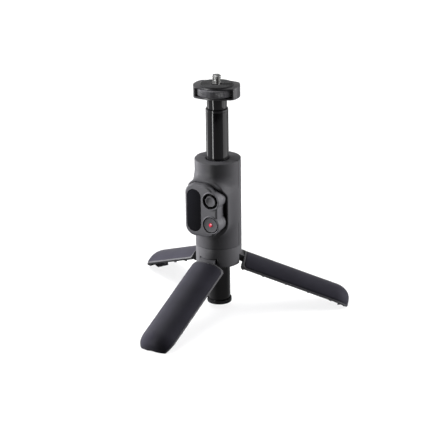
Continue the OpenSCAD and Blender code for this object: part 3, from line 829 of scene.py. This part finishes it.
def screw():
    """Camera screw with its real thread, 20 turns to the inch, and a chamfered end."""
    low, high = box_mm("camera_screw")
    r = camera_screw_radius()
    pitch, depth = 25.4 / 20, 0.62
    bottom = box_mm("rubber_pad")[1].z
    flange_top, flange_r, core_r = low.z + FLANGE, r + 2.3, r - 0.375
    steps, levels, rows = 72, 110, []
    heights = [bottom + (high.z - bottom) * k / levels for k in range(levels + 1)]
    for k in range(steps):
        a = TAU * k / steps
        column = [(0, low.z), (flange_r - 0.2, low.z), (flange_r, low.z + 0.2), (flange_r, flange_top - 0.2),
                  (flange_r - 0.2, flange_top), (core_r, flange_top), (core_r, bottom - 0.4)]
        for z in heights:
            phase = ((z - bottom) / pitch - a / TAU) % 1
            ridge = min(1.0, 1.25 * (1 - abs(phase - 0.5) * 2))
            end = min(1.0, (high.z - z) / 0.6)
            column.append((min(r - depth + depth * ridge, r - 0.7 * (1 - end)), z))
        column += [(1.6, high.z), (0, high.z)]
        rows.append([(p * math.cos(a), p * math.sin(a), z) for p, z in column])
    placed(mesh_piece("threaded_screw", *lattice(rows, close_column=True), 40), "camera_screw", STEEL)


# ------------------------------------------------------------------ bevelled CAD parts

def carried_over():
    """Small and inner parts: bevelled copies of their CAD nodes."""
    for node, material, width in (
            ("tripod_base", BODY, 0.3), ("base_cover", BODY, 0.15), ("bay_magnets", MAGNET, 0.1),
            ("case_screws", STEEL, 0.12), ("base_screws", STEEL, 0.12), ("hinge_pins", STEEL, 0.15),
            ("leg_springs", SPRING, 0.06), ("display_module", INNER, 0.1), ("remote_pcb", BOARD, 0.05),
            ("remote_battery", FOIL, 0.4), ("remote_magnets", MAGNET, 0.1), ("remote_screws", STEEL, 0.1),
            ("charge_socket", STEEL, 0.1), ("record_switch", INNER, 0.1), ("joystick_base", INNER, 0.1),
            ("joystick_carrier", INNER, 0.08), ("joystick_ring", INNER, 0.06)):
        softened(node, material, width)


# ------------------------------------------------------------------ view and light

def camera():
    """Camera at the photograph's angle: turned right of the front, looking down."""
    where = Vector((0.5345, -1.0083, 0.4993))
    heading, pitch, roll = math.radians(28.09), math.radians(20.506), math.radians(-0.837)
    level = math.cos(pitch)
    forward = Vector((-math.sin(heading) * level, math.cos(heading) * level, -math.sin(pitch)))
    right = Vector((math.cos(heading), math.sin(heading), 0))
    up = right.cross(forward)
    side = right * math.cos(roll) + up * math.sin(roll)
    above = -right * math.sin(roll) + up * math.cos(roll)
    data = bpy.data.cameras.new("camera")
    data.lens = 138.6
    data.sensor_width = 36
    data.clip_start = 0.01
    view = bpy.data.objects.new("camera", data)
    view.matrix_world = Matrix.Translation(where) @ Matrix((side, above, -forward)).transposed().to_4x4()
    bpy.context.scene.collection.objects.link(view)
    bpy.context.scene.camera = view


def round_object(left, distance, height):
    """Place at an angle to the left of the camera's own direction, going round the object."""
    toward = Vector((0.468, -0.884, 0))
    across = Vector((-0.884, -0.468, 0))
    a = math.radians(left)
    return (toward * math.cos(a) + across * math.sin(a)) * distance + Vector((0, 0, height))


def lamp(name, data, at, target, only=(), never=()):
    """Lamp that no camera sees; it can light only some pieces, or leave some unlit."""
    made = bpy.data.objects.new(name, data)
    made.location = at
    made.rotation_euler = (Vector(target) - Vector(at)).to_track_quat("-Z", "Y").to_euler()
    made.visible_camera = False
    bpy.context.scene.collection.objects.link(made)
    if only or never:
        linked = bpy.data.collections.new(name + "_linked")
        for piece in only or never:
            linked.objects.link(piece)
        made.light_linking.receiver_collection = linked
        for entry in linked.collection_objects:
            entry.light_linking.link_state = "INCLUDE" if only else "EXCLUDE"
    return made


def soft_light(name, at, target, size, power, never=(), mirrored=True):
    """Soft box of a width and height in metres; if it isn't mirrored, no surface reflects it."""
    data = bpy.data.lights.new(name, "AREA")
    data.shape = "RECTANGLE"
    data.size, data.size_y = size
    data.energy = power
    lamp(name, data, at, target, never=never).visible_glossy = mirrored


def floor_wash(floor, strength):
    """Even light on the floor alone, without shadows, which leaves the soft boxes' shadows pale."""
    data = bpy.data.lights.new("wash", "SUN")
    data.energy = strength
    data.use_shadow = False
    lamp("wash", data, (0, 0, 1.5), (0, 0, 0), only=[floor])


def backdrop():
    """White all round for the camera; the light from it is strong behind the object and weak in front."""
    world = bpy.data.worlds.new("studio")
    bpy.context.scene.world = world
    world.use_nodes = True
    tree = world.node_tree
    glow = tree.nodes["Background"]
    glow.inputs["Color"].default_value = (1, 1, 1, 1)
    where = tree.nodes.new("ShaderNodeTexCoord")
    side = tree.nodes.new("ShaderNodeVectorMath")
    side.operation = "DOT_PRODUCT"
    side.inputs[1].default_value = (0.45, -0.85, -0.28)
    fade = tree.nodes.new("ShaderNodeMapRange")
    fade.interpolation_type = "SMOOTHSTEP"
    fade.inputs["From Min"].default_value = -0.75
    fade.inputs["From Max"].default_value = 0.15
    fade.inputs["To Min"].default_value = 0.35
    fade.inputs["To Max"].default_value = 0.01
    seen = tree.nodes.new("ShaderNodeLightPath")
    choose = tree.nodes.new("ShaderNodeMix")
    choose.inputs["B"].default_value = 1.0
    tree.links.new(where.outputs["Generated"], side.inputs[0])
    tree.links.new(side.outputs["Value"], fade.inputs["Value"])
    tree.links.new(fade.outputs["Result"], choose.inputs["A"])
    tree.links.new(seen.outputs["Is Camera Ray"], choose.inputs["Factor"])
    tree.links.new(choose.outputs["Result"], glow.inputs["Strength"])


def studio(window):
    """White floor and soft boxes. The narrow ones near the rod give its tubes their bright lines.

    The floor is darker to bounced light than to the camera, so that it doesn't brighten the black parts.
    """
    half, n = 3.0 / MM, 24
    across = [half * (2 * k / n - 1) for k in range(n + 1)]
    floor = mesh_piece("studio_floor", *lattice([[(x, y, 0) for y in across] for x in across]))
    pale = Surface("studio_floor", (0.93, 0.93, 0.935, 1), 0.65, specular=0.1).mottled(4, 0.01)
    seen = pale.node("ShaderNodeLightPath")
    mix = pale.node("ShaderNodeMix", data_type="RGBA")
    colour = pale.shader.inputs["Base Color"]
    mix.inputs["A"].default_value = (0.22, 0.22, 0.225, 1)
    pale.link(colour.links[0].from_socket, mix.inputs["B"])
    pale.link(seen.outputs["Is Camera Ray"], mix.inputs["Factor"])
    pale.link(mix.outputs["Result"], colour)
    floor.data.materials.append(pale.material)
    backdrop()
    middle, rod_z = (0, 0, 0.09), 0.155
    rod_middle = (0, 0, rod_z)
    soft_light("top", (-0.35, 0.05, 1.25), (0, 0, 0), (1.0, 1.0), 6.5)
    floor_wash(floor, 2.95)
    soft_light("left", round_object(106, 1.0, 0.25), middle, (0.35, 0.6), 155, [floor], mirrored=False)
    soft_light("right", round_object(-95, 1.0, 0.3), middle, (0.6, 0.6), 58, [floor], mirrored=False)
    soft_light("strip", round_object(45, 0.22, rod_z), rod_middle, (0.035, 0.3), 0.34, [floor, window])
    soft_light("edge", round_object(122, 0.27, rod_z), rod_middle, (0.07, 0.3), 0.2, [floor])
    soft_light("card", round_object(-88, 0.3, rod_z), rod_middle, (0.34, 0.3), 0.5, [floor])
    bpy.context.scene.view_settings.view_transform = "Standard"


camera()
remote_case()
remote_back()
studio(remote_window())
joystick_knob()
record_key()
front_grip()
rear_grip()
guides()
detent()
for leg_body in ("leg_front", "leg_right", "leg_left"):
    leg(leg_body)
rod()
head()
wheel()
screw()
carried_over()
